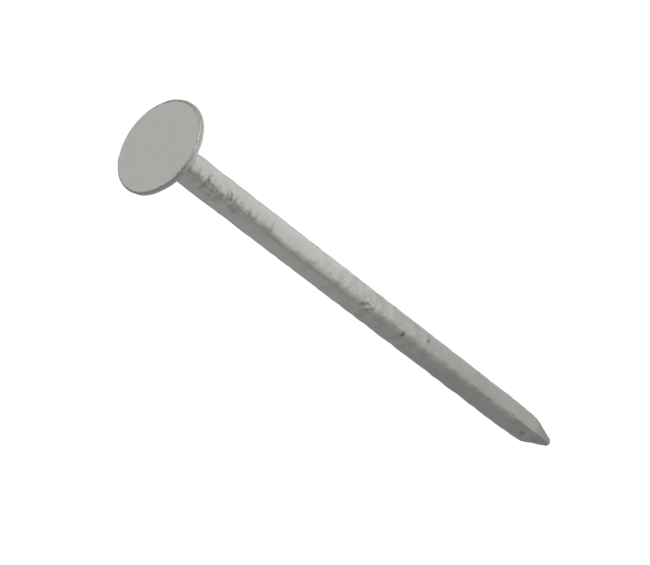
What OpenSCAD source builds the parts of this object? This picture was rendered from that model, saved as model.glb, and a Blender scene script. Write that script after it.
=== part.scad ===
// Hot-dip galvanised roofing nail: one drawn steel wire, cold-headed, gripped and
// pinch-pointed, inside one coat of zinc. Millimetres.
//
// Frame: +Z runs up out of the hammer face and the shank runs down along -Z. The origin is the
// centre of the coated bearing face, the face that comes down on the sheet or board. The gripper
// marks are on the +Y and -Y sides. The point is wider across X than across Y: its front and back
// ridges run down the +Y and -Y sides, a few degrees round from the axis.
//
// The steel_ nodes are the wire, one for each stretch that a different tool of the nail machine
// forms. The coat_ nodes are the zinc over each of them: the same shape grown outwards by coat_t,
// less the steel.

/* [Wire] */
// Diameter of the bare wire
wire_d = 3.05; // [2.4:0.05:4.6]
// Length from the bearing face to the cut end of the steel
nail_l = 63.5; // [40:0.5:110]

/* [Head] */
// Diameter of the bare head
head_d = 9.6; // [7.5:0.1:14]
// Thickness of the coated head
head_t = 0.55; // [0.5:0.05:1]
// Radius that the bare rim bulges to; more than half the head's thickness
rim_r = 0.5; // [0.5:0.05:0.9]
// Height and width of the flare between the bare wire and the head
flare = 0.4; // [0.2:0.05:0.6]

/* [Gripper marks] */
// Marks on each of the two sides
mark_count = 8; // [2:2:12]
// Distance from one mark to the next
mark_pitch = 1.2; // [1:0.1:1.8]
// Depth of a mark in the steel
mark_depth = 0.2; // [0.12:0.02:0.26]
// Width of a mark at the surface of the steel
mark_w = 0.7; // [0.4:0.05:0.9]
// Distance from the bearing face to the first mark
mark_start = 3.8; // [1.6:0.1:5]
// How much wider than the wire the gripper dies are bored, on the radius
die_gap = 0.45; // [0.3:0.05:1]

/* [Point] */
// Length of the pinched point
point_l = 8.8; // [6:0.1:11]
// Length at the top of the point that the cutters leave round
facet_lead = 0.4; // [0.2:0.1:1]
// Radius that the point's round sides close in to by the tip
corner_end_r = 1.1; // [0.9:0.02:1.16]
// Angle that each facet faces away from the Y axis
facet_turn = 30; // [26:1:44]
// Turn of the pinch cutters round the nail, from -Y towards +X
cutter_turn = 6; // [0:1:12]
// Half the width of the blunt steel end
tip_half_w = 0.14; // [0.1:0.02:0.2]
// How far the cutters leave the tip off the wire's axis, towards +X
tip_shift = 0.15; // [0:0.05:0.35]

/* [Zinc] */
// Thickness of the coat
coat_t = 0.06; // [0.04:0.01:0.1]
// How much shallower a mark is on the coat than in the steel
mark_fill = 0.04; // [0.02:0.02:0.1]
// Radius of the drained bead at the tip
bead_r = 0.4; // [0.38:0.02:0.5]
// Number of dross pimples on the plain shank
dross_count = 18; // [1:1:40]
// Radius of the largest pimple
dross_r = 0.3; // [0.2:0.02:0.4]
// How far the largest pimple stands off the coat
dross_h = 0.12; // [0.06:0.02:0.16]

/* [Hidden] */
$fn = 96;

zinc = [0.70, 0.71, 0.69];
bead_zinc = [0.60, 0.61, 0.59];
dross = [0.56, 0.57, 0.55];
steel = [0.33, 0.33, 0.35];

wire_r = wire_d / 2;
coat_r = wire_r + coat_t;
head_r = head_d / 2;

// The flare is a 45 degree cone, and the coat's flare is the same cone moved out by coat_t.
flare_z = coat_t - flare;
coat_flare_z = flare_z - (sqrt(2) - 1) * coat_t;
bearing_r = coat_r - coat_flare_z;

// The neck ends as far above the first mark as the grip runs on below the last one.
neck_l = mark_start - mark_pitch / 2;
grip_end = neck_l + mark_count * mark_pitch;
die_r = wire_r + die_gap;
mark_slope = mark_w / 2 / mark_depth;
tooth_h = mark_depth + coat_t + 0.2;

shoulder = nail_l - point_l;
facet_l = point_l - facet_lead;
// The round sides of the point close in along one arc that leaves the wire without a step.
corner_close = wire_r - corner_end_r;
corner_r = (corner_close * corner_close + point_l * point_l) / (2 * corner_close);
facet_azimuths = [for (side = [90, 270], turn = [-facet_turn, facet_turn]) side + turn + cutter_turn];
bead_z = 0.05 - nail_l;

golden_angle = 137.5;

// The head: flat on both faces, with a rim that bulges as free upset metal does.
module head_form(grow) {
    r = head_r + grow;
    bulge = rim_r + grow;
    t = head_t - 2 * (coat_t - grow);
    translate([0, 0, coat_t - grow])
        rotate_extrude()
            intersection() {
                square([r, t]);
                union() {
                    square([r - bulge, t]);
                    translate([r - bulge, t / 2]) circle(r = bulge);
                }
            }
}

// Plain round wire between two depths below the bearing face
module wire_form(from, to, grow) {
    translate([0, 0, -to]) cylinder(r = wire_r + grow, h = to - from);
}

// The gripper dies' teeth. The dies are bored wider than the wire, so each tooth bites deepest in the
// middle of its side and runs out to nothing round the wire.
module die_teeth(bite, grow) {
    for (side = [-1, 1], i = [0:mark_count - 1])
        translate([0, side * (wire_r + grow - bite - die_r), -(mark_start + i * mark_pitch)])
            rotate_extrude()
                polygon([[die_r, 0],
                         [die_r + tooth_h, -tooth_h * mark_slope],
                         [die_r + tooth_h, tooth_h * mark_slope]]);
}

module grip_form(bite, grow) {
    difference() {
        wire_form(neck_l, grip_end, grow);
        die_teeth(bite, grow);
    }
}

// One pinch cutter's blade: a block whose flat side lies along the facet it leaves
module blade(azimuth, grow) {
    tip_d = tip_half_w + tip_shift * cos(azimuth);
    lean = atan2(wire_r - tip_d, facet_l);
    size = 4 * wire_r + 2 * point_l;
    rotate([0, 0, azimuth])
        translate([wire_r + grow, 0, -(shoulder + facet_lead)])
            rotate([0, lean, 0])
                translate([0, -size / 2, -size]) cube([size, size, size + point_l / 2]);
}

module point_form(grow) {
    difference() {
        rotate_extrude()
            intersection() {
                translate([wire_r - corner_r, -shoulder]) circle(r = corner_r + grow, $fn = 4 * $fn);
                translate([0, -nail_l]) square([wire_r + grow, point_l]);
            }
        for (azimuth = facet_azimuths) blade(azimuth, grow);
    }
}

module steel_head() {
    color(steel) head_form(0);
}

module steel_neck() {
    color(steel)
        rotate_extrude()
            polygon([[0, -neck_l], [wire_r, -neck_l], [wire_r, flare_z], [wire_r + flare, coat_t], [0, coat_t]]);
}

module steel_grip() {
    color(steel) grip_form(mark_depth, 0);
}

module steel_shank() {
    color(steel) wire_form(grip_end, shoulder, 0);
}

module steel_point() {
    color(steel) point_form(0);
}

module coat_head() {
    color(zinc)
        difference() {
            head_form(coat_t);
            head_form(0);
            cylinder(r = bearing_r, h = coat_t);
        }
}

module coat_neck() {
    color(zinc)
        difference() {
            rotate_extrude()
                polygon([[0, -neck_l], [coat_r, -neck_l], [coat_r, coat_flare_z], [bearing_r, 0],
                         [bearing_r, coat_t], [0, coat_t]]);
            steel_neck();
        }
}

module coat_grip() {
    color(zinc)
        difference() {
            grip_form(mark_depth - mark_fill, coat_t);
            grip_form(mark_depth, 0);
        }
}

module coat_shank() {
    color(zinc)
        difference() {
            wire_form(grip_end, shoulder, coat_t);
            wire_form(grip_end, shoulder, 0);
        }
}

module coat_point() {
    color(zinc)
        difference() {
            point_form(coat_t);
            point_form(0);
        }
}

module tip_bead() {
    color(bead_zinc)
        difference() {
            translate([tip_shift, 0, bead_z]) sphere(r = bead_r);
            point_form(coat_t);
        }
}

// Separate lumps along a spiral down the plain shank, in five sizes
module dross_pimples() {
    spacing = (shoulder - grip_end) / dross_count;
    color(dross)
        difference() {
            for (i = [0:dross_count - 1]) {
                scale_i = 1 - 0.12 * (3 * i % 5);
                rotate([0, 0, i * golden_angle])
                    translate([coat_r + scale_i * (dross_h - dross_r), 0, -(grip_end + (i + 0.5) * spacing)])
                        sphere(r = scale_i * dross_r, $fn = 48);
            }
            wire_form(grip_end, shoulder, coat_t);
        }
}

coat_head();
coat_neck();
coat_grip();
coat_shank();
coat_point();
tip_bead();
dross_pimples();
steel_head();
steel_neck();
steel_grip();
steel_shank();
steel_point();
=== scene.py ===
# %% [markdown]
# # A galvanised roofing nail
# The nail is one piece of drawn steel wire with a flat head forged on one end and a pinched point on the
# other, dipped in molten zinc. Everything that shows is zinc, so most of this lesson makes the zinc coat:
# its true outline first, then the small relief that dipping and gripping leave in it, then its finish.
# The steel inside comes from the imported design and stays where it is.

# %% The frame
import math

import bpy
import bmesh
import numpy as np
from mathutils import Matrix, Vector


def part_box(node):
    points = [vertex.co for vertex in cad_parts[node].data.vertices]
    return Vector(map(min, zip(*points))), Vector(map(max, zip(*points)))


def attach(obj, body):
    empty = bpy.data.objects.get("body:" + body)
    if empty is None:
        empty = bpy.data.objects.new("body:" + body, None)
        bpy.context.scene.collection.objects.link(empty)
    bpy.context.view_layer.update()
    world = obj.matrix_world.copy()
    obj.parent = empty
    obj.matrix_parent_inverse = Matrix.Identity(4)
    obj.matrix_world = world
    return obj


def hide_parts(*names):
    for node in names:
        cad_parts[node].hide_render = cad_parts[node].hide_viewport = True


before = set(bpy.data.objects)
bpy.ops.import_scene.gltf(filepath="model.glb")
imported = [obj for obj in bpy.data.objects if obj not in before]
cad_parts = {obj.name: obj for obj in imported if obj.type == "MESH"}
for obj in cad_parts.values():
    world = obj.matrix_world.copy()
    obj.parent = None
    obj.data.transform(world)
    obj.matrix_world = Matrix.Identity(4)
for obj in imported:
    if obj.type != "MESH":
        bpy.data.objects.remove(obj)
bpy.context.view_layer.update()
print("Nodes in the frame:", ", ".join(sorted(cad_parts)))

# %% [markdown]
# ## Measures
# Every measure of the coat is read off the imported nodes, so the skin made here always fits the design.
# A box's half width is a radius, and the difference between a coat's and its steel's is the zinc.

# %% Measures from the frame
MM = 0.001


def reach(node):
    """The outer radius of a round node, and its highest and lowest z, in metres"""
    low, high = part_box(node)
    return (high[0] - low[0]) / 2, high[2], low[2]


head_r, face_z, bearing_z = reach("coat_head")
bare_head_r, bare_face_z, bare_bearing_z = reach("steel_head")
bearing_r, _, neck_end_z = reach("coat_neck")
coat_r, _, grip_end_z = reach("coat_grip")
wire_r, _, _ = reach("steel_grip")
shoulder_z, tip_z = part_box("coat_point")[1][2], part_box("coat_point")[0][2]
bead_low, bead_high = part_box("tip_bead")
bead_centre = (bead_low + bead_high) / 2
coat_t = coat_r - wire_r
head_d = 2 * head_r
print(f"Head {head_d / MM:.2f} mm, coated wire {2 * coat_r / MM:.2f} mm, zinc {coat_t / MM:.3f} mm")

# %% [markdown]
# ## Camera
# The nail is seen from its front and well above, through a long lens that hardly narrows the far end.
# The camera leans to one side, so an upright nail runs down across the picture. Its place is given in head
# diameters from the head's centre: how far the head sits from the line of sight, and how far away.

# %% Camera
LENS = 168.3
ELEVATION = math.radians(41.7)
LEAN = math.radians(-52.6)
HEAD_RIGHT, HEAD_UP, HEAD_AWAY = -1.5404, 1.2676, 28.15

camera_data = bpy.data.cameras.new("camera")
camera_data.lens = LENS
camera_data.sensor_width = 36
camera_data.clip_start = 0.01
camera_data.clip_end = 20
camera = bpy.data.objects.new("camera", camera_data)
bpy.context.scene.collection.objects.link(camera)
turn = Matrix.Rotation(math.pi / 2 - ELEVATION, 4, "X") @ Matrix.Rotation(LEAN, 4, "Z")
head_seen = Vector((HEAD_RIGHT, HEAD_UP, -HEAD_AWAY)) * head_d
camera.matrix_world = Matrix.Translation(Vector((0, 0, face_z)) - turn.to_3x3() @ head_seen) @ turn
bpy.context.scene.camera = camera
print("Camera at", [round(v / MM) for v in camera.location], "mm")

# %% [markdown]
# ## Helpers for node trees
# Materials, the studio and Geometry Nodes are all trees. These helpers add a node, give its sockets their
# values or links in one line, and chain sums, so that a tree below reads like the formula that it is.


# %% Helpers for node trees
class Tree:
    """Adds nodes to a tree. A value that is a socket is linked, and any other value is set."""

    def __init__(self, tree):
        self.tree = tree
        tree.nodes.clear()

    def add(self, kind, inputs=None, **settings):
        node = self.tree.nodes.new(kind)
        node.location = (200 * (len(self.tree.nodes) % 12), -220 * (len(self.tree.nodes) // 12))
        for name, value in settings.items():
            setattr(node, name, value)
        for key, value in (inputs or {}).items():
            self.give(node.inputs[key], value)
        return node

    def give(self, socket, value):
        if isinstance(value, bpy.types.NodeSocket):
            self.tree.links.new(value, socket)
        else:
            socket.default_value = value

    def sum(self, operation, *values):
        return self.add("ShaderNodeMath", dict(enumerate(values)), operation=operation).outputs[0]

    def vector_sum(self, operation, *values):
        node = self.add("ShaderNodeVectorMath", operation=operation)
        for socket, value in zip(node.inputs, values):
            self.give(socket, value)
        return node.outputs["Value" if operation in ("LENGTH", "DISTANCE", "DOT_PRODUCT") else "Vector"]

    def spread(self, value, low, high, to_low=0.0, to_high=1.0, way="SMOOTHSTEP"):
        """Carries the range low..high over to to_low..to_high, with nothing past the ends"""
        sockets = {"Value": value, "From Min": low, "From Max": high, "To Min": to_low, "To Max": to_high}
        return self.add("ShaderNodeMapRange", sockets, interpolation_type=way).outputs["Result"]

    def noise(self, place, size, seed, detail=2.0):
        """Soft noise about 0.5, whose bumps are about size across in the units of place"""
        sockets = {"Vector": place, "W": seed, "Scale": 1 / size, "Detail": detail}
        return self.add("ShaderNodeTexNoise", sockets, noise_dimensions="4D").outputs["Fac"]


def geometry_tree(name, inputs):
    """A Geometry Nodes tree with named inputs, given as name: (socket kind, value)"""
    tree = bpy.data.node_groups.new(name, "GeometryNodeTree")
    tree.is_modifier = True
    tree.interface.new_socket("Geometry", in_out="OUTPUT", socket_type="NodeSocketGeometry")
    tree.interface.new_socket("Geometry", in_out="INPUT", socket_type="NodeSocketGeometry")
    for label, (kind, value) in inputs.items():
        socket = tree.interface.new_socket(label, in_out="INPUT", socket_type="NodeSocket" + kind)
        if value is not None:
            socket.default_value = value
    return tree


def evaluated(obj, tree, values):
    """The plain mesh that a tree makes of an object, with its inputs set by their identifiers"""
    modifier = obj.modifiers.new(tree.name, "NODES")
    modifier.node_group = tree
    identifiers = {item.name: item.identifier for item in tree.interface.items_tree if item.in_out == "INPUT"}
    for label, value in values.items():
        modifier[identifiers[label]] = value
    depsgraph = bpy.context.evaluated_depsgraph_get()
    mesh = bpy.data.meshes.new_from_object(obj.evaluated_get(depsgraph), depsgraph=depsgraph)
    obj.modifiers.remove(modifier)
    return mesh


print("Helpers ready")

# %% [markdown]
# ## Studio
# The nail hangs over a pale floor that glows a little, as a light table does, so the ground stays clean
# and almost white. The light is one wide soft wall on the nail's +X side and a dim room on the other.
# A mirror-like cylinder would show both sharply. Rough zinc blurs them into a bright side, a dark side and
# a soft edge between. A curtain of small panels hangs low round the nail. The camera looks down, so only the
# upper shank mirrors the curtain, and the light falls off towards the point. Single panels lift the hammer
# face and pick out the lip on the rim.

# %% Floor
FLOOR_DROP = 0.45
FLOOR_HALF = 6.0
FLOOR_GLOW = 0.68


def floor_finish():
    material = bpy.data.materials.new("light_table")
    material.use_nodes = True
    tree = Tree(material.node_tree)
    shader = tree.add("ShaderNodeBsdfPrincipled", {"Base Color": (0.9, 0.9, 0.9, 1), "Roughness": 0.9})
    tree.give(shader.inputs["Emission Color"], (1, 1, 1, 1))
    tree.give(shader.inputs["Emission Strength"], FLOOR_GLOW)
    tree.add("ShaderNodeOutputMaterial", {"Surface": shader.outputs[0]})
    return material


floor_z = tip_z - FLOOR_DROP
corners = [(x * FLOOR_HALF, y * FLOOR_HALF, floor_z) for x, y in ((-1, -1), (1, -1), (1, 1), (-1, 1))]
floor_mesh = bpy.data.meshes.new("floor")
floor_mesh.from_pydata(corners, [], [(0, 1, 2, 3)])
floor_mesh.materials.append(floor_finish())
floor = bpy.data.objects.new("floor", floor_mesh)
bpy.context.scene.collection.objects.link(floor)
floor.visible_glossy = False
floor.visible_diffuse = False
print(f"Floor {FLOOR_DROP} m below the point")

# %% Light
WALL_BRIGHT = (0.52, 0.52, 0.52, 1)
ROOM_DIM = (0.275, 0.275, 0.275, 1)
BACKDROP = (0.98, 0.98, 0.98, 1)
WALL_TURN = math.radians(12)
WALL_EDGE = 0.03

world = bpy.data.worlds.new("studio")
world.use_nodes = True
sky = Tree(world.node_tree)
way = sky.add("ShaderNodeTexCoord").outputs["Generated"]
to_wall = (math.cos(WALL_TURN), math.sin(WALL_TURN), 0)
share = sky.spread(sky.vector_sum("DOT_PRODUCT", way, to_wall), -WALL_EDGE, WALL_EDGE)
soft = sky.add("ShaderNodeMix", {"Factor": share}, data_type="RGBA")
sky.give(soft.inputs[6], ROOM_DIM)
sky.give(soft.inputs[7], WALL_BRIGHT)
light = sky.add("ShaderNodeBackground", {"Color": soft.outputs[2]})
seen = sky.add("ShaderNodeBackground", {"Color": BACKDROP})
ray = sky.add("ShaderNodeLightPath")
views = {0: ray.outputs["Is Camera Ray"], 1: light.outputs[0], 2: seen.outputs[0]}
either = sky.add("ShaderNodeMixShader", views)
sky.add("ShaderNodeOutputWorld", {"Surface": either.outputs[0]})
bpy.context.scene.world = world

# Where each panel hangs, how wide and tall it is, and its power in watts
PANELS = {
    "high_panel": (Vector((0.30, -0.10, 0.22)), 0.16, 0.16, 0.07),
    "lip_panel": (Vector((0.23, -0.06, 0.23)), 0.13, 0.13, 0.08),
    "face_panel": (Vector((0.0, 0.33, 0.30)), 0.20, 0.20, 0.028),
}
# The curtain's panels, by their azimuth in degrees from the front towards +X, with their power in watts
CURTAIN_LIT = dict.fromkeys((4, 34, 64, 94, 124), 0.0012)
CURTAIN_DIM = dict.fromkeys((-50, -85, -120), 0.0006)
CURTAIN_R = 0.06
CURTAIN_Z = -0.058
CURTAIN_W = 0.033
CURTAIN_H = 0.035
for azimuth, power in {**CURTAIN_LIT, **CURTAIN_DIM}.items():
    a = math.radians(azimuth)
    hung = Vector((CURTAIN_R * math.sin(a), -CURTAIN_R * math.cos(a), CURTAIN_Z))
    PANELS[f"curtain_{azimuth}"] = (hung, CURTAIN_W, CURTAIN_H, power)


def hang_panel(name, place, wide, tall, power):
    """A soft panel that faces the nail and doesn't show itself"""
    data = bpy.data.lights.new(name, "AREA")
    data.shape = "RECTANGLE"
    data.size, data.size_y = wide, tall
    data.energy = power
    panel = bpy.data.objects.new(name, data)
    panel.location = place
    panel.rotation_mode = "QUATERNION"
    panel.rotation_quaternion = place.to_track_quat("Z", "Y")
    panel.visible_camera = False
    bpy.context.scene.collection.objects.link(panel)


for name, (place, wide, tall, power) in PANELS.items():
    hang_panel(name, place, wide, tall, power)
bpy.context.scene.view_settings.view_transform = "Standard"
bpy.context.scene.view_settings.look = "None"
print("Studio: a wall of light on +X, with", len(PANELS), "panels")

# %% [markdown]
# ## The coat's outline
# A lathe would turn this outline, and so does the code: one list of stations from the middle of the hammer
# face, round the bulging rim, across the bearing face, through the fillet that molten zinc leaves under the
# head, and down the wire. Round stretches are arcs. Steps grow where nothing happens.

# %% Outline of the head
RIM_BULGE = 0.5 * MM
EDGE_R = 0.13 * MM
LIP_ZONE = 0.35 * MM
FILLET_R = 0.6 * MM
OUTLINE_STEP = 0.08 * MM


def arc(centre, radius, start, stop, step):
    """Points along an arc in the (r, z) plane, angles in degrees from the +r direction"""
    length = abs(math.radians(stop - start)) * radius
    count = max(2, math.ceil(length / step) + 1)
    angles = np.radians(np.linspace(start, stop, count))
    return np.stack([centre[0] + radius * np.cos(angles), centre[1] + radius * np.sin(angles)], axis=1)


def line(start, stop, step):
    count = max(2, math.ceil(math.dist(start, stop) / step) + 1)
    return np.linspace(start, stop, count)


def joined(*stretches):
    """Stretches end to end, each without the point that the one before it ended on"""
    return np.concatenate([stretches[0]] + [stretch[1:] for stretch in stretches[1:]])


def head_half(radius, top, bulge, edge_r, step):
    """Face and the upper half of the rim: flat, a rounded edge, then the bulge down to mid height"""
    middle = (bearing_z + face_z) / 2
    centre_r = radius - bulge
    # The edge's arc touches the flat face from below and the bulge from inside.
    edge_z = top - edge_r
    edge_centre_r = centre_r + math.sqrt((bulge - edge_r) ** 2 - (edge_z - middle) ** 2)
    turn_over = math.degrees(math.asin((edge_z - middle) / (bulge - edge_r)))
    lip_start = edge_centre_r - LIP_ZONE
    return joined(
        line((0, top), (lip_start, top), step),
        line((lip_start, top), (edge_centre_r, top), step / 3),
        arc((edge_centre_r, edge_z), edge_r, 90, turn_over, step / 3),
        arc((centre_r, middle), bulge, turn_over, 0, step / 2),
    )


def head_outline(radius, top, bulge, edge_r, inner_r, step):
    """From the middle of the face, round the rim and in along the underside to inner_r"""
    upper = head_half(radius, top, bulge, edge_r, step)
    middle = (bearing_z + face_z) / 2
    lower = upper[::-1] * (1, -1) + (0, 2 * middle)
    lower = lower[lower[:, 0] > inner_r + step / 2]
    return joined(upper, lower, np.array([lower[-1], (inner_r, lower[-1][1])]))


outline = head_outline(head_r, face_z, RIM_BULGE + coat_t, EDGE_R, coat_r + FILLET_R, OUTLINE_STEP)
print(len(outline), "stations from the middle of the face to the fillet")

# %% [markdown]
# ## From rings to a surface
# Every piece of the coat is a stack of rings of points. A skin is the open sheet through them, and a
# shell is a closed solid: down the outside, across the cut, and back up the inside against the steel.
# A ring of one point is a pole, which closes the middle of the face and the end of the point.

# %% Rings, skins and shells
AROUND = 160
HEAD_AROUND = 480


def turned(stations, around):
    """Rings made by turning (r, z) stations about the nail's axis"""
    angles = np.linspace(0, 2 * math.pi, around, endpoint=False)
    rings = []
    for r, z in stations:
        used = angles if r > 0 else angles[:1]
        rings.append(np.stack([r * np.cos(used), r * np.sin(used), np.full(len(used), z)], axis=1))
    return rings


def faces_between(first, second):
    """Quads between two rings of numbered points, or triangles where one of them is a pole"""
    count = max(len(first), len(second))
    if count == 1:
        return []
    after = [(i + 1) % count for i in range(count)]
    if len(first) == 1:
        return [(first[0], second[i], second[after[i]]) for i in range(count)]
    if len(second) == 1:
        return [(first[i], second[0], first[after[i]]) for i in range(count)]
    return [(first[i], second[i], second[after[i]], first[after[i]]) for i in range(count)]


def ring_mesh(name, rings, closed=False):
    """A smooth mesh through rings of points. A closed one joins its last ring to its first."""
    starts = np.cumsum([0] + [len(ring) for ring in rings])
    numbered = [list(range(starts[i], starts[i + 1])) for i in range(len(rings))]
    pairs = list(zip(numbered, numbered[1:]))
    if closed:
        pairs.append((numbered[-1], numbered[0]))
    faces = [face for pair in pairs for face in faces_between(*pair)]
    mesh = bpy.data.meshes.new(name)
    mesh.from_pydata(np.concatenate(rings).tolist(), [], faces)
    mesh.shade_smooth()
    return mesh


def per_point(mesh, values, size):
    """A mesh's vectors (size 3) or numbers (size 1) as an array with one row for each point"""
    flat = np.empty(len(mesh.vertices) * size, dtype=np.float32)
    values.foreach_get("vector" if size == 3 else "value", flat)
    return flat.reshape(-1, size)


print("A skin has", AROUND, "points round the wire and", HEAD_AROUND, "round the head")

# %% [markdown]
# ## The relief of the zinc
# Up close the coat is never a clean cylinder. Molten zinc freezes in slow ripples and a fine orange peel,
# gathers into a lip on the rim, and leaves a few pinholes. Under it, the gripper dies that held the wire
# while the head was forged have bitten rows of shallow marks on two sides and pushed up a burr beside each.
# All of this follows rules, so one Geometry Nodes tree moves the skin along its own normals by their sum.
# It works in millimetres on the place of each point, so neighbouring pieces agree along their cuts.
# The marks fill the grip evenly, so its two ends give their pitch and the place of the first.

# %% Relief inputs
MARK_COUNT = 8
mark_pitch = (neck_end_z - grip_end_z) / MM / MARK_COUNT
first_mark = mark_pitch / 2 - neck_end_z / MM
LIP_FROM_RIM = 0.166
RELIEF = {
    "Wall radius": ("Float", coat_r / MM),
    "Mark count": ("Int", MARK_COUNT),
    "Mark pitch": ("Float", mark_pitch),
    "First mark": ("Float", first_mark),
    "Mark bite": ("Float", 0.075),
    "Mark slope": ("Float", 1.75),
    "Die radius": ("Float", 3.0),
    "Burr height": ("Float", 0.022),
    "Ripple height": ("Float", 0.10),
    "Peel height": ("Float", 0.022),
    "Zinc": ("Float", coat_t / MM),
    "Least zinc": ("Float", 0.012),
    "Lip height": ("Float", 0.085),
    "Lip radius": ("Float", head_r / MM - LIP_FROM_RIM),
    "Pits": ("Object", None),
    "Lumps": ("Object", None),
    "Spot height": ("Float", 1.0),
    "Seed": ("Float", 3.0),
}
print("Relief inputs:", ", ".join(RELIEF))

# %% Gripper marks
MARK_BLUNTNESS = 0.05
SHALLOWEST, DEEPEST = 0.65, 1.2
MARK_SHOULDER = 0.05
BURR_WIDTH = 0.045


def gripper_marks(t, given, place):
    """How deep the dies' teeth bite at a place, and how high the burr beside a mark stands"""
    x, y, z = t.add("ShaderNodeSeparateXYZ", {0: place}).outputs
    r = t.sum("SQRT", t.sum("ADD", t.sum("MULTIPLY", x, x), t.sum("MULTIPLY", y, y)))
    cosine = t.sum("DIVIDE", t.sum("ABSOLUTE", y), r)
    sine = t.sum("DIVIDE", x, r)
    below = t.sum("SUBTRACT", t.sum("MULTIPLY", z, -1.0), given["First mark"])
    last = t.sum("SUBTRACT", given["Mark count"], 1.0)
    nearest = t.sum("ROUND", t.sum("DIVIDE", below, given["Mark pitch"]))
    number = t.sum("MINIMUM", t.sum("MAXIMUM", nearest, 0.0), last)
    apart = t.sum("ABSOLUTE", t.sum("SUBTRACT", below, t.sum("MULTIPLY", number, given["Mark pitch"])))
    blunt = t.sum("SQRT", t.sum("ADD", t.sum("MULTIPLY", apart, apart), MARK_BLUNTNESS))
    die = t.sum("ADD", given["Die radius"], t.sum("DIVIDE", blunt, given["Mark slope"]))
    side = t.sum("MULTIPLY", t.sum("SIGN", y), 0.5)
    key = t.sum("ADD", t.sum("MULTIPLY", number, 2.0), side)
    uneven = t.add("FunctionNodeRandomValue", {"ID": key, "Seed": 5}, data_type="FLOAT")
    t.give(uneven.inputs[2], SHALLOWEST)
    t.give(uneven.inputs[3], DEEPEST)
    bite = t.sum("MULTIPLY", given["Mark bite"], uneven.outputs[1])
    shift = t.sum("SUBTRACT", given["Die radius"], t.sum("SUBTRACT", given["Wall radius"], bite))
    across = t.sum("MULTIPLY", shift, sine)
    root = t.sum("SQRT", t.sum("SUBTRACT", t.sum("MULTIPLY", die, die), t.sum("MULTIPLY", across, across)))
    tooth_r = t.sum("SUBTRACT", root, t.sum("MULTIPLY", shift, cosine))
    cut = t.sum("SUBTRACT", given["Wall radius"], tooth_r)
    depth = t.sum("SMOOTH_MAX", cut, 0.0, MARK_SHOULDER)
    from_edge = t.sum("DIVIDE", t.sum("ADD", cut, MARK_SHOULDER), BURR_WIDTH)
    burr = t.sum("EXPONENT", t.sum("MULTIPLY", t.sum("MULTIPLY", from_edge, from_edge), -1.0))
    ragged = t.spread(t.noise(place, 0.8, given["Seed"]), 0.42, 0.62)
    burr = t.sum("MULTIPLY", t.sum("MULTIPLY", burr, ragged), given["Burr height"])
    return depth, burr


print("Marks:", MARK_COUNT, "a side,", round(mark_pitch, 2), "mm apart")

# %% Spots
SPOT_STRAY = 0.3
SPOT_FLAT = 0.3


def nearest_spot(t, spots, place):
    """The rise of the nearest of the spots at a place, and how much it darkens the colour, fading out to its
    edge
    """
    holes = t.add("GeometryNodeObjectInfo", {"Object": spots}).outputs["Geometry"]
    wobble = t.add("ShaderNodeTexNoise", {"Vector": place, "Scale": 3.0}).outputs["Color"]
    pushed = t.vector_sum("SUBTRACT", wobble, (0.5, 0.5, 0.5))
    stray = t.add("ShaderNodeVectorMath", {0: pushed, 3: SPOT_STRAY}, operation="SCALE").outputs[0]
    strayed = t.vector_sum("ADD", place, stray)
    metres = t.add("ShaderNodeVectorMath", {0: strayed, 3: MM}, operation="SCALE").outputs[0]
    nearest = t.add("GeometryNodeSampleNearest", {0: holes, 1: metres}, domain="POINT").outputs[0]
    where = t.add("GeometryNodeInputPosition").outputs[0]
    centre = t.add("GeometryNodeSampleIndex", {"Geometry": holes, "Index": nearest}, data_type="FLOAT_VECTOR")
    t.give(centre.inputs["Value"], where)
    measures = []
    for measure in ("size", "rise", "stain"):
        stored = t.add("GeometryNodeInputNamedAttribute", {"Name": measure}, data_type="FLOAT").outputs[0]
        sampled = t.add("GeometryNodeSampleIndex", {"Geometry": holes, "Value": stored, "Index": nearest})
        measures.append(sampled.outputs[0])
    size, rise, stain = measures
    gap = t.vector_sum("DISTANCE", metres, centre.outputs[0])
    inside = t.spread(t.sum("DIVIDE", gap, size), SPOT_FLAT, 1.0, 1.0, 0.0)
    # The darkening is flux in the pinholes and painted shade in the notches, scar and dents
    return t.sum("MULTIPLY", inside, rise), t.sum("MULTIPLY", inside, stain)


print("Spots stray by up to", SPOT_STRAY / 2, "mm, so none is round")

# %% [markdown]
# The hammer face stays calmer than the shank, because zinc runs off a flat face evenly. The lip is a narrow
# ridge just inside the rim, lumpy, and highest on the side that the zinc ran to.

# %% Relief tree
FACE_SHARE = 0.12
LIP_SHARPNESS = -180.0
HUNG_LOWEST = (0.8, -0.6, 0.0)
RIPPLE_SIZE, PEEL_SIZE, LIP_LUMP_SIZE = 1.6, 0.55, 0.6


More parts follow.
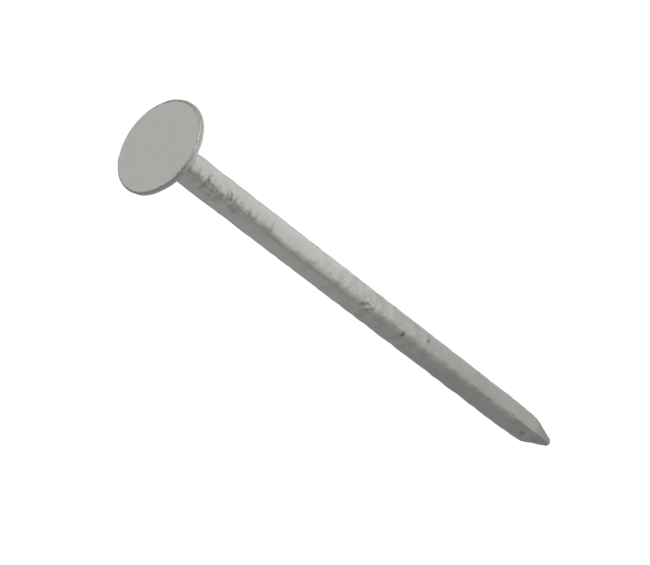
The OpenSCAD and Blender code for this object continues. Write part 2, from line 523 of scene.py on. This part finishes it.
def relief_tree(finish):
    """Ripple, peel, lip, burrs and spots, less the marks, added along the skin's own normals"""
    group = geometry_tree("zinc_relief", RELIEF)
    t = Tree(group)
    given = t.add("NodeGroupInput").outputs
    position = t.add("GeometryNodeInputPosition").outputs[0]
    normal = t.add("GeometryNodeInputNormal").outputs[0]
    place = t.add("ShaderNodeVectorMath", {0: position, 3: 1 / MM}, operation="SCALE").outputs[0]
    upright = t.add("ShaderNodeSeparateXYZ", {0: normal}).outputs[2]
    on_face = t.spread(upright, 0.6, 0.95)

    drawn_out = t.vector_sum("MULTIPLY", place, (1, 1, 0.8))
    slow = t.sum("SUBTRACT", t.noise(drawn_out, RIPPLE_SIZE, given["Seed"], 1.0), 0.46)
    ripple = t.sum("MULTIPLY", t.sum("MULTIPLY", slow, given["Ripple height"]), 2.0)
    fine = t.sum("SUBTRACT", t.noise(place, PEEL_SIZE, given["Seed"], 2.0), 0.5)
    peel = t.sum("MULTIPLY", t.sum("MULTIPLY", fine, given["Peel height"]), 2.0)
    calm = t.spread(on_face, 0.0, 1.0, 1.0, FACE_SHARE, way="LINEAR")
    wavy = t.sum("MULTIPLY", t.sum("ADD", ripple, peel), calm)

    flat = t.vector_sum("MULTIPLY", place, (1, 1, 0))
    from_lip = t.sum("SUBTRACT", t.vector_sum("LENGTH", flat), given["Lip radius"])
    lip = t.sum("EXPONENT", t.sum("MULTIPLY", t.sum("MULTIPLY", from_lip, from_lip), LIP_SHARPNESS))
    lumpy = t.spread(t.noise(place, LIP_LUMP_SIZE, given["Seed"]), 0.38, 0.6)
    lowest = t.spread(t.vector_sum("DOT_PRODUCT", flat, HUNG_LOWEST), -2.0, 4.0, 0.15, 1.0)
    lip = t.sum("MULTIPLY", t.sum("MULTIPLY", lip, lumpy), t.sum("MULTIPLY", on_face, given["Lip height"]))
    lip = t.sum("MULTIPLY", lip, lowest)

    depth, burr = gripper_marks(t, given, place)
    pit, stain = nearest_spot(t, given["Pits"], place)
    lump, _ = nearest_spot(t, given["Lumps"], place)
    spot = t.sum("MULTIPLY", t.sum("ADD", pit, lump), given["Spot height"])
    raised = t.sum("ADD", t.sum("ADD", t.sum("ADD", wavy, lip), burr), spot)
    lowest_skin = t.sum("SUBTRACT", given["Least zinc"], given["Zinc"])
    raised = t.sum("SMOOTH_MAX", raised, lowest_skin, 0.01)
    height = t.sum("MULTIPLY", t.sum("SUBTRACT", raised, depth), MM)
    offset = t.add("ShaderNodeVectorMath", {0: normal, 3: height}, operation="SCALE").outputs[0]
    # Stores the pits' darkening: flux in the pinholes, painted shade in the notches, scar and dents
    kept = {0: given["Geometry"], "Name": "stain", "Value": stain}
    darkened = t.add("GeometryNodeStoreNamedAttribute", kept)
    moved = t.add("GeometryNodeSetPosition", {0: darkened.outputs[0], "Offset": offset})
    real = t.add("GeometryNodeRealizeInstances", {0: moved.outputs[0]})
    finished = t.add("GeometryNodeSetMaterial", {0: real.outputs[0], "Material": finish})
    t.add("NodeGroupOutput", {0: finished.outputs[0]})
    return group


print("The lip runs", LIP_FROM_RIM, "mm inside the rim")

# %% [markdown]
# ## Finishes
# Hot-dip zinc is a metal, but a dull one. A thin grey bloom roughens it, unevenly, and its crystals differ
# a little in tone. So the finish is metallic with a fairly high roughness, and noise in the place of each
# point varies tone, roughness and the finest bump. A dark colour fills the pits: flux left in the pinholes
# and the scattered pits, and painted shade in the notches, the scar and the dents.
# The last of the bath drained off the tip, and left its zinc thick, rough and almost without shine.

# %% Zinc
ZINC_TINT = (0.985, 1.0, 0.945)
# The dark colour of the pits: flux in the pinholes, painted shade in the notches, scar and dents
FLUX_AND_SHADE = (0.06, 0.0588, 0.0558, 1)
ZINC_METALLIC = 0.92
# How far above the tip, in millimetres, the dull zinc is whole and where it ends
DULL_TIP = (2.3, 3.5)
DULL_TONE, DULL_ROUGH, DULL_METALLIC = 0.46, 0.6, 0.15


def zinc_finish(name, tone, rough, grain_bump):
    """Dull hot-dip zinc: tone is its middle grey, rough its middle roughness"""
    material = bpy.data.materials.new(name)
    material.use_nodes = True
    t = Tree(material.node_tree)
    place = t.add("ShaderNodeTexCoord").outputs["Object"]
    mm = t.add("ShaderNodeVectorMath", {0: place, 3: 1 / MM}, operation="SCALE").outputs[0]
    bloom = t.noise(mm, 2.6, 1.0, 3.0)
    mottle = t.noise(mm, 0.55, 2.0, 3.0)
    crystals = t.add("ShaderNodeTexVoronoi", {"Vector": mm, "Scale": 0.8, "Randomness": 0.9})
    crystal = t.add("ShaderNodeSeparateColor", {0: crystals.outputs["Color"]}).outputs[0]
    grain = t.noise(mm, 0.11, 3.0, 2.0)

    from_tip = t.sum("SUBTRACT", t.add("ShaderNodeSeparateXYZ", {0: mm}).outputs[2], tip_z / MM)
    from_tip = t.sum("ADD", from_tip, t.spread(mottle, 0.3, 0.7, -0.35, 0.35, "LINEAR"))
    dull = t.spread(from_tip, *DULL_TIP, 1.0, 0.0)

    shade = t.spread(bloom, 0.25, 0.75, 0.95, 1.05, "LINEAR")
    shade = t.sum("ADD", shade, t.spread(mottle, 0.3, 0.7, -0.035, 0.035, "LINEAR"))
    shade = t.sum("ADD", shade, t.spread(crystal, 0.0, 1.0, -0.012, 0.012, "LINEAR"))
    bright = t.sum("MULTIPLY", shade, t.spread(dull, 0.0, 1.0, tone, DULL_TONE, "LINEAR"))
    base = t.add("ShaderNodeVectorMath", {0: ZINC_TINT, 3: bright}, operation="SCALE").outputs[0]
    # How much a pit is darkened: flux in the pinholes, painted shade in the notches, scar and dents
    stain = t.add("ShaderNodeAttribute", attribute_name="stain").outputs["Fac"]
    mixed = t.add("ShaderNodeMix", {"Factor": stain}, data_type="RGBA")
    t.give(mixed.inputs[6], base)
    t.give(mixed.inputs[7], FLUX_AND_SHADE)
    roughness = t.spread(dull, 0.0, 1.0, rough, DULL_ROUGH, "LINEAR")
    roughness = t.sum("ADD", roughness, t.spread(bloom, 0.3, 0.7, -0.04, 0.04, "LINEAR"))
    roughness = t.sum("ADD", roughness, t.spread(mottle, 0.3, 0.7, -0.04, 0.04, "LINEAR"))
    metallic = t.spread(dull, 0.0, 1.0, ZINC_METALLIC, DULL_METALLIC, "LINEAR")

    tooth = t.add("ShaderNodeBump", {"Height": grain, "Strength": grain_bump, "Distance": 0.02 * MM})
    shader = t.add("ShaderNodeBsdfPrincipled", {"Metallic": metallic, "Base Color": mixed.outputs[2]})
    t.give(shader.inputs["Roughness"], roughness)
    t.give(shader.inputs["Normal"], tooth.outputs[0])
    t.add("ShaderNodeOutputMaterial", {"Surface": shader.outputs[0]})
    return material


zinc = zinc_finish("hot_dip_zinc", 0.66, 0.34, 0.35)
dross = zinc_finish("dross_zinc", 0.6, 0.5, 0.5)
print("Zinc finishes:", zinc.name, dross.name)

# %% [markdown]
# The steel under the coat is dark drawn wire: fine lines run along it, where the die dragged, and the heat of
# the zinc bath has left it a dull blue-grey. Only a cut nail would show it.

# %% Steel


def steel_finish():
    """Dark drawn wire, scored along its length"""
    material = bpy.data.materials.new("drawn_steel")
    material.use_nodes = True
    t = Tree(material.node_tree)
    place = t.add("ShaderNodeTexCoord").outputs["Object"]
    lines = t.add("ShaderNodeVectorMath", {0: place, 1: (9000, 9000, 300)}, operation="MULTIPLY").outputs[0]
    drag = t.noise(lines, 1.0, 1.0, 3.0)
    base = t.add("ShaderNodeValToRGB", {0: drag})
    base.color_ramp.elements[0].color = (0.10, 0.10, 0.11, 1)
    base.color_ramp.elements[1].color = (0.24, 0.24, 0.26, 1)
    scored = t.add("ShaderNodeBump", {"Height": drag, "Strength": 0.4, "Distance": 0.01 * MM})
    shader = t.add("ShaderNodeBsdfPrincipled", {"Metallic": 1.0, "Base Color": base.outputs[0]})
    t.give(shader.inputs["Roughness"], t.spread(drag, 0.3, 0.7, 0.35, 0.55, "LINEAR"))
    t.give(shader.inputs["Normal"], scored.outputs[0])
    t.add("ShaderNodeOutputMaterial", {"Surface": shader.outputs[0]})
    return material


drawn_steel = steel_finish()
steel_nodes = ["steel_head", "steel_neck", "steel_grip", "steel_shank", "steel_point"]
for node in steel_nodes:
    for slot in bpy.data.objects[node].material_slots:
        slot.material = drawn_steel
print("Steel finish on", len(steel_nodes), "nodes")

# %% [markdown]
# ## The wire's outline and the pinched point
# Below the head the outline turns into a plain wire. At the point, a pair of V-shaped cutters has pinched
# it: they leave four flat facets that lean in, nearer to Y than to X, so the front and back ridges start
# early and the side edges late. The facets don't meet on the axis, because the cutters never close quite
# true. A ring of the point is the nearest of all those limits in each direction from a centre that drifts
# with the tip, with the edges softened as dipping softens them.

# %% Rings of the wire and the point
FACET_LEAD = 0.4 * MM
CORNER_END_R = 1.1 * MM
TIP_HALF_W = 0.14 * MM
EDGE_SOFTNESS = 0.06 * MM
FACET_TURN = 30
CUTTER_TURN = 6
FACET_TURNS = (CUTTER_TURN - FACET_TURN, CUTTER_TURN + FACET_TURN)
FACET_AZIMUTHS = np.radians([side + facet for side in (90, 270) for facet in FACET_TURNS])
LEAST_FACING = 0.05
tip_shift = bead_centre[0]
point_l = shoulder_z - tip_z
facet_l = point_l - FACET_LEAD
corner_close = wire_r - CORNER_END_R
corner_arc_r = (corner_close**2 + point_l**2) / (2 * corner_close)


def softer_of(a, b, softness):
    """The smaller of two limits, blended where they are close"""
    blend = np.clip(0.5 + 0.5 * (b - a) / softness, 0, 1)
    return b + (a - b) * blend - softness * blend * (1 - blend)


def wire_ring(z, grow, softness, around=AROUND):
    """One ring of the wire, grown outwards by a coat, with its facets below the shoulder"""
    below = max(0.0, shoulder_z - z)
    along = min(1.0, max(0.0, (below - FACET_LEAD) / facet_l))
    centre = tip_shift * along
    angles = np.linspace(0, 2 * math.pi, around, endpoint=False)
    round_r = wire_r - corner_arc_r + math.sqrt((corner_arc_r + grow) ** 2 - below**2)
    limit = -centre * np.cos(angles) + np.sqrt(round_r**2 - (centre * np.sin(angles)) ** 2)
    if below > FACET_LEAD / 2:
        facet = wire_r + grow - (below - FACET_LEAD) / facet_l * (wire_r - TIP_HALF_W)
        for azimuth in FACET_AZIMUTHS:
            facing = np.cos(angles - azimuth)
            to_facet = np.where(facing > LEAST_FACING, facet / np.maximum(facing, LEAST_FACING), 1.0)
            limit = softer_of(limit, to_facet, softness)
    return np.stack([centre + limit * np.cos(angles), limit * np.sin(angles), np.full(around, z)], 1)


def levels(top, bottom, step):
    """Even heights from top to bottom, both included"""
    return np.linspace(top, bottom, math.ceil((top - bottom) / step) + 1)


FINE_STEP = 0.05 * MM
PLAIN_STEP = 0.09 * MM
fillet_end_z = bearing_z - FILLET_R
wire_levels = np.concatenate([
    levels(fillet_end_z, neck_end_z, FINE_STEP)[1:],
    levels(neck_end_z, grip_end_z, FINE_STEP)[1:],
    levels(grip_end_z, shoulder_z, PLAIN_STEP)[1:],
    levels(shoulder_z, tip_z, FINE_STEP)[1:],
])
print(len(wire_levels), "rings down the wire")

# %% [markdown]
# ## Pits and lumps
# Zinc bridges over trapped flux and leaves dark pinholes. The gripper dies tear the wire a little where they
# let go, so the front has notches with bright lumps of zinc beside them, and halfway down a blister broke
# into a scar: two grooves darkened with painted shade, a finger of zinc between them and a crescent round
# their end. Each spot is a lone point that holds its size, its rise and how much it darkens the colour, and
# the relief tree shapes the skin round it. The notches and dents are darkened too, with painted shade. Equal
# spots in a row join into a groove or a ridge. Those on the front are listed below, and seeded chance
# spreads the others.

# %% Pits and lumps


def row(start, stop, count, *measures):
    """Equal spots from one (azimuth, z) to another, close enough to join"""
    return [(*place, *measures) for place in np.linspace(start, stop, count).tolist()]


# Each spot: azimuth in degrees from the front, z, radius and rise in millimetres, and darkening from 0 to 1,
# which is flux in the pinholes and painted shade in the notches, scar and dents
PINHOLES = [(-7, -36.2, 0.42, -0.05, 0.6), (37, -39.8, 0.38, -0.05, 0.55), (-40, -37.4, 0.14, -0.03, 0.5)]
# The notches' darkening is painted shade in their hollows
NOTCHES = (
    row((-31, -5.0), (6, -5.15), 6, 0.22, -0.07, 0.3)
    + [(-11, -6.2, 0.26, -0.06, 0.25), (-30, -6.3, 0.22, -0.05, 0.2)]
    + row((-27, -7.2), (-9, -7.4), 3, 0.42, -0.06, 0.15)
    + row((-3, -8.6), (17, -8.3), 4, 0.2, -0.07, 0.3)
    + [(-20, -9.7, 0.42, -0.06, 0.2), (-16, -9.1, 0.3, -0.05, 0.2)]
    # The wide dent under the head, at -3.3 mm, is darkened a little: painted shade below the head
    + [(12, -9.8, 0.16, -0.05, 0.3), (4, -11.0, 0.16, -0.05, 0.3), (-14, -3.3, 0.8, -0.04, 0.05)]
)
# The scar's dark strokes are grooves darkened with painted shade
SCAR = (
    row((-10, -29.4), (3, -30.1), 4, 0.36, -0.045, 0.22)
    + row((-27, -30.2), (-7, -30.8), 4, 0.24, -0.03, 0.1)
)
# The dents' darkening is painted shade in their hollows
LOW_DENTS = [
    (-4, -51.2, 0.24, -0.05, 0.35), (2, -55.4, 0.2, -0.05, 0.3), (9, -57.3, 0.24, -0.05, 0.2),
    (-50, -59.0, 0.55, -0.06, 0.35), (-19, -56.6, 0.4, -0.05, 0.2), (-3, -34.9, 0.14, -0.04, 0.3),
]
GRIP_LUMPS = [
    (12, -3.1, 1.0, 0.09, 0), (12, -4.1, 0.5, 0.05, 0), (17, -5.5, 0.6, 0.07, 0), (19, -6.1, 0.6, 0.07, 0),
    (4, -7.1, 0.7, 0.08, 0), (16, -8.4, 0.7, 0.07, 0), (12, -9.5, 0.7, 0.07, 0), (4, -10.6, 0.7, 0.07, 0),
    (10, -11.8, 0.8, 0.06, 0), (14, -14.1, 0.9, 0.05, 0),
]
CRESCENT = row((20, -30.0), (9, -30.8), 4, 0.34, 0.05, 0) + row((-6, -30.2), (2, -30.6), 2, 0.16, 0.035, 0)
POINT_BURR = row((11, -56.7), (23, -57.5), 4, 0.17, 0.08, 0)
OTHER_SPOTS = 12
chance = np.random.default_rng(7)
pits = PINHOLES + NOTCHES + SCAR + LOW_DENTS
lumps = GRIP_LUMPS + CRESCENT + POINT_BURR
for _ in range(OTHER_SPOTS):
    azimuth, z, stain = chance.uniform(70, 290), chance.uniform(-56, -14), chance.uniform(0.4, 0.9)
    pits.append((azimuth, z, chance.uniform(0.1, 0.22), -0.04, stain))
    lumps.append((azimuth + 9, z - 0.2, chance.uniform(0.2, 0.4), chance.uniform(0.03, 0.08), 0))


def on_skin(azimuth, z_mm):
    """The place on the coat at an azimuth, where 0 is the front, -Y, and 90 is +X"""
    ring = wire_ring(z_mm * MM, coat_t, EDGE_SOFTNESS)
    wanted = math.radians(azimuth - 90) % (2 * math.pi)
    return ring[round(wanted / (2 * math.pi) * len(ring)) % len(ring)].tolist()


def spot_object(name, spots):
    """An object of lone points, one for each spot, that carry its measures"""
    mesh = bpy.data.meshes.new(name)
    mesh.from_pydata([on_skin(azimuth, z) for azimuth, z, *_ in spots], [], [])
    size, rise, stain = np.array([spot[2:] for spot in spots]).T
    for label, values in (("size", size * MM), ("rise", rise), ("stain", stain)):
        mesh.attributes.new(label, "FLOAT", "POINT").data.foreach_set("value", values.tolist())
    points = bpy.data.objects.new(name, mesh)
    bpy.context.scene.collection.objects.link(points)
    return points


pit_points = spot_object("pits", pits)
lump_points = spot_object("lumps", lumps)
print(len(pits), "pits and", len(lumps), "lumps")

# %% [markdown]
# ## One skin, evaluated once
# The coat is modelled whole and cut afterwards. The head's skin needs more points round it than the wire's,
# so there are two skins, and each runs a few rings past the cut between them. That way the shading is the
# same on both sides of every cut, because each piece keeps the normals that the whole skin had.

# %% Skins with their relief
PAST_THE_CUT = 3
fillet_centre = (coat_r + FILLET_R, bearing_z - FILLET_R)
cut_angle = math.degrees(math.acos((bearing_r - fillet_centre[0]) / FILLET_R))
fillet_above = arc(fillet_centre, FILLET_R, 90, cut_angle, FINE_STEP)
fillet_below = arc(fillet_centre, FILLET_R, cut_angle, 180, FINE_STEP)
head_stations = joined(outline, fillet_above)
relief = relief_tree(zinc)


def with_relief(name, rings, values):
    """Rings moved by the relief tree, with the normals and the pits' darkening of the skin that they make"""
    skin = bpy.data.objects.new(name, ring_mesh(name, rings))
    bpy.context.scene.collection.objects.link(skin)
    mesh = evaluated(skin, relief, {"Pits": pit_points, "Lumps": lump_points, **values})
    bpy.data.objects.remove(skin)
    points = per_point(mesh, mesh.attributes["position"].data, 3)
    normals = per_point(mesh, mesh.vertex_normals, 3)
    stain = per_point(mesh, mesh.attributes["stain"].data, 1)
    cuts = np.cumsum([len(ring) for ring in rings])[:-1]
    by_ring = [np.split(values, cuts) for values in (points, normals, stain)]
    return list(zip(*by_ring))


head_rings = turned(joined(head_stations, fillet_below[:PAST_THE_CUT + 1]), HEAD_AROUND)
head_skin = with_relief("head_skin", head_rings, {})[:len(head_stations)]
wire_start = joined(fillet_above[-1 - PAST_THE_CUT:], fillet_below)
wire_rings = turned(wire_start, AROUND) + [wire_ring(z, coat_t, EDGE_SOFTNESS) for z in wire_levels]
wire_skin = with_relief("wire_skin", wire_rings, {})[PAST_THE_CUT:]
print("Head skin:", len(head_skin), "rings. Wire skin:", len(wire_skin), "rings")

# %% [markdown]
# ## The coat's pieces
# Each piece is the zinc over one stretch of the steel, as a closed shell that fits it: the skin outside, the
# steel's own surface inside. The inner wall of the grip has the deeper marks of the bare steel, made by the
# same tree with the coat's own relief turned off.

# %% Inner walls
INNER_STEP = 0.1 * MM
HEAD_STEP = 0.5 * MM
SHANK_STEP = 5 * MM
BARE_EDGE_R = 0.02 * MM
DIE_GAP = 0.45
TURNED_OFF = ("Ripple height", "Peel height", "Least zinc", "Lip height", "Burr height", "Spot height")
BARE = dict.fromkeys(TURNED_OFF, 0.0)
BARE.update({"Wall radius": wire_r / MM, "Mark bite": 0.2, "Die radius": wire_r / MM + DIE_GAP})
FLARE = 0.4 * MM
SHARP = 0.01 * MM


def plain(rings):
    """Rings with no relief, whose normals point in towards the steel"""
    made = []
    for ring in rings:
        inward = -(ring - ring.mean(0)) * (1, 1, 0)
        length = np.maximum(np.linalg.norm(inward, axis=1, keepdims=True), 1e-9)
        made.append((ring, inward / length, np.zeros((len(ring), 1))))
    return made


def turned_in(rings):
    """Relief rings as an inner wall: not darkened, with their normals the other way"""
    return [(ring, -normals, stain * 0) for ring, normals, stain in rings]


bare_outline = head_outline(bare_head_r, bare_face_z, RIM_BULGE, BARE_EDGE_R, bearing_r, HEAD_STEP)
inner_head = plain(turned(bare_outline[::-1], HEAD_AROUND))
flare_z = bare_bearing_z - FLARE
neck_stations = [
    (wire_r, neck_end_z), (wire_r, flare_z), (wire_r + FLARE, bare_bearing_z), (bearing_r, bare_bearing_z),
]
inner_neck = plain(turned(neck_stations, AROUND))
grip_rings = [wire_ring(z, 0, EDGE_SOFTNESS) for z in levels(neck_end_z, grip_end_z, INNER_STEP)]
inner_grip = turned_in(with_relief("grip_wall", grip_rings, BARE)[::-1])
shank_levels = levels(grip_end_z, shoulder_z, SHANK_STEP)[::-1]
inner_shank = plain([wire_ring(z, 0, EDGE_SOFTNESS) for z in shank_levels])
inner_point = plain([wire_ring(z, 0, SHARP) for z in levels(shoulder_z, tip_z, INNER_STEP)[::-1]])
print("Inner walls for head, neck, grip, shank and point")

# %% Shells


def stretch(skin, top, bottom):
    """The rings of a skin between two heights"""
    close = 0.001 * MM
    return [ring for ring in skin if bottom - close <= ring[0][:, 2].mean() <= top + close]


def shell(name, node, rings, closed=True):
    """A closed piece of the coat in place of a node, keeping the normals of the whole skin"""
    mesh = ring_mesh(name, [ring[0] for ring in rings], closed)
    mesh.materials.append(zinc)
    stain = mesh.attributes.new("stain", "FLOAT", "POINT")
    stain.data.foreach_set("value", np.concatenate([ring[2] for ring in rings]).ravel())
    mesh.normals_split_custom_set_from_vertices(np.concatenate([ring[1] for ring in rings]).tolist())
    piece = bpy.data.objects.new(name, mesh)
    bpy.context.scene.collection.objects.link(piece)
    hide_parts(node)
    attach(piece, "root")
    solid = bmesh.new()
    solid.from_mesh(mesh)
    open_edges = sum(not edge.is_manifold for edge in solid.edges)
    print(f"{name}: {sum(len(f.vertices) - 2 for f in mesh.polygons)} triangles, "
          f"{solid.calc_volume(signed=True) / MM**3:.2f} mm3, {open_edges} open edges")
    solid.free()
    return piece


neck_top = wire_skin[0][0][:, 2].mean() + FINE_STEP
zinc_head = shell("zinc_head", "coat_head", head_skin + inner_head, closed=False)
zinc_neck = shell("zinc_neck", "coat_neck", stretch(wire_skin, neck_top, neck_end_z) + inner_neck)
zinc_grip = shell("zinc_grip", "coat_grip", stretch(wire_skin, neck_end_z, grip_end_z) + inner_grip)
zinc_shank = shell("zinc_shank", "coat_shank", stretch(wire_skin, grip_end_z, shoulder_z) + inner_shank)
zinc_point = shell("zinc_point", "coat_point", stretch(wire_skin, shoulder_z, tip_z) + inner_point)

# %% [markdown]
# ## The bead at the tip
# The nail leaves the bath head first, so the last of the zinc drains down to the tip and freezes there as a
# blunt bead. Above the bead it is a dull film that wets the facets and runs out to nothing, so its rings are
# the point's own rings, grown a little less the higher they are. The relief tree dents it and, where the film
# dips under the skin, gives it a ragged edge.

# %% Bead
BEAD_AROUND = 96
BEAD_R = 0.36 * MM
FILM = 0.02 * MM
FILM_L = 2.6 * MM
FILM_SINK = 0.035 * MM
CAP_STEPS = 14
BEAD_SHORT = 0.03 * MM
bead_middle = bead_low[2] + BEAD_SHORT + BEAD_R


def bead_rings():
    """The film's rings down the point, then a round cap, with a pole at each end"""
    rings = []
    for z in levels(tip_z + FILM_L, bead_middle, FINE_STEP):
        share = min(1.0, (tip_z + FILM_L - z) / (FILM_L / 2))
        grow = coat_t + share * FILM - (1 - share) * FILM_SINK
        rings.append(wire_ring(max(z, tip_z), grow, EDGE_SOFTNESS, BEAD_AROUND))
    last = rings[-1] * (1, 1, 0)
    middle = last.mean(0)
    for angle in np.linspace(0, math.pi / 2, CAP_STEPS)[1:-1]:
        sunk = (0, 0, bead_middle - BEAD_R * math.sin(angle))
        rings.append(middle + (last - middle) * math.cos(angle) + sunk)
    bottom = np.array([middle + (0, 0, bead_middle - BEAD_R)])
    return [np.array([rings[0].mean(0)])] + rings + [bottom]


bead_skin = with_relief("bead_skin", bead_rings(), {"Ripple height": 0.04, "Lip height": 0.0})
bead_mesh = ring_mesh("zinc_bead", [ring[0] for ring in bead_skin])
bead_mesh.materials.append(zinc)
zinc_bead = bpy.data.objects.new("zinc_bead", bead_mesh)
bpy.context.scene.collection.objects.link(zinc_bead)
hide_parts("tip_bead")
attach(zinc_bead, "root")
print("Bead", round(2 * BEAD_R / MM, 2), "mm deep under a film", round(FILM_L / MM, 1), "mm long")

# %% [markdown]
# ## Dross
# Specks of iron-zinc crystal float in the bath and freeze onto the coat as low lumps. They fall anywhere, so
# a Geometry Nodes tree scatters one small lump over the shank's skin, turned to the surface and scaled by
# chance, with named inputs for how many, how large and how flat, and a fixed seed.

# %% Scatter tree
SCATTER = {
    "Lumps per square millimetre": ("Float", 0.08),
    "Smallest": ("Float", 0.05 * MM),
    "Largest": ("Float", 0.12 * MM),
    "Flatness": ("Float", 0.38),
    "Seed": ("Int", 5),
}


def scatter_tree(finish):
    """One flattened lump on points scattered over a surface"""
    group = geometry_tree("dross_scatter", SCATTER)
    t = Tree(group)
    given = t.add("NodeGroupInput").outputs
    per_metre = t.sum("DIVIDE", given["Lumps per square millimetre"], MM * MM)
    sites = t.add("GeometryNodeDistributePointsOnFaces", {"Mesh": given["Geometry"], "Density": per_metre})
    t.give(sites.inputs["Seed"], given["Seed"])
    size = t.add("FunctionNodeRandomValue", {"Seed": given["Seed"]}, data_type="FLOAT")
    t.give(size.inputs[2], given["Smallest"])
    t.give(size.inputs[3], given["Largest"])
    lump = t.add("GeometryNodeMeshIcoSphere", {"Radius": 1.0, "Subdivisions": 3})
    flat = t.add("ShaderNodeCombineXYZ", {0: 1.0, 1: 1.0, 2: given["Flatness"]})
    pressed = t.add("GeometryNodeTransform", {0: lump.outputs[0], "Scale": flat.outputs[0]})
    instances = {"Points": sites.outputs[0], "Instance": pressed.outputs[0]}
    placed = t.add("GeometryNodeInstanceOnPoints", instances)
    t.give(placed.inputs["Rotation"], sites.outputs["Rotation"])
    t.give(placed.inputs["Scale"], size.outputs[1])
    real = t.add("GeometryNodeRealizeInstances", {0: placed.outputs[0]})
    smooth = t.add("GeometryNodeSetShadeSmooth", {0: real.outputs[0]})
    finished = t.add("GeometryNodeSetMaterial", {0: smooth.outputs[0], "Material": finish})
    t.add("NodeGroupOutput", {0: finished.outputs[0]})
    return group


shank_sheet = ring_mesh("shank_sheet", [ring[0] for ring in stretch(wire_skin, grip_end_z, shoulder_z)])
sheet = bpy.data.objects.new("shank_sheet", shank_sheet)
bpy.context.scene.collection.objects.link(sheet)
dross_mesh = evaluated(sheet, scatter_tree(dross), {})
bpy.data.objects.remove(sheet)
dross_lumps = bpy.data.objects.new("dross_lumps", dross_mesh)
bpy.context.scene.collection.objects.link(dross_lumps)
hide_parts("dross_pimples")
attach(dross_lumps, "root")
print("Dross:", len(dross_mesh.polygons), "faces")

# %% [markdown]
# ## Finish
# The helper points have done their work and go.

# %% Finish
for points in (pit_points, lump_points):
    bpy.data.objects.remove(points)
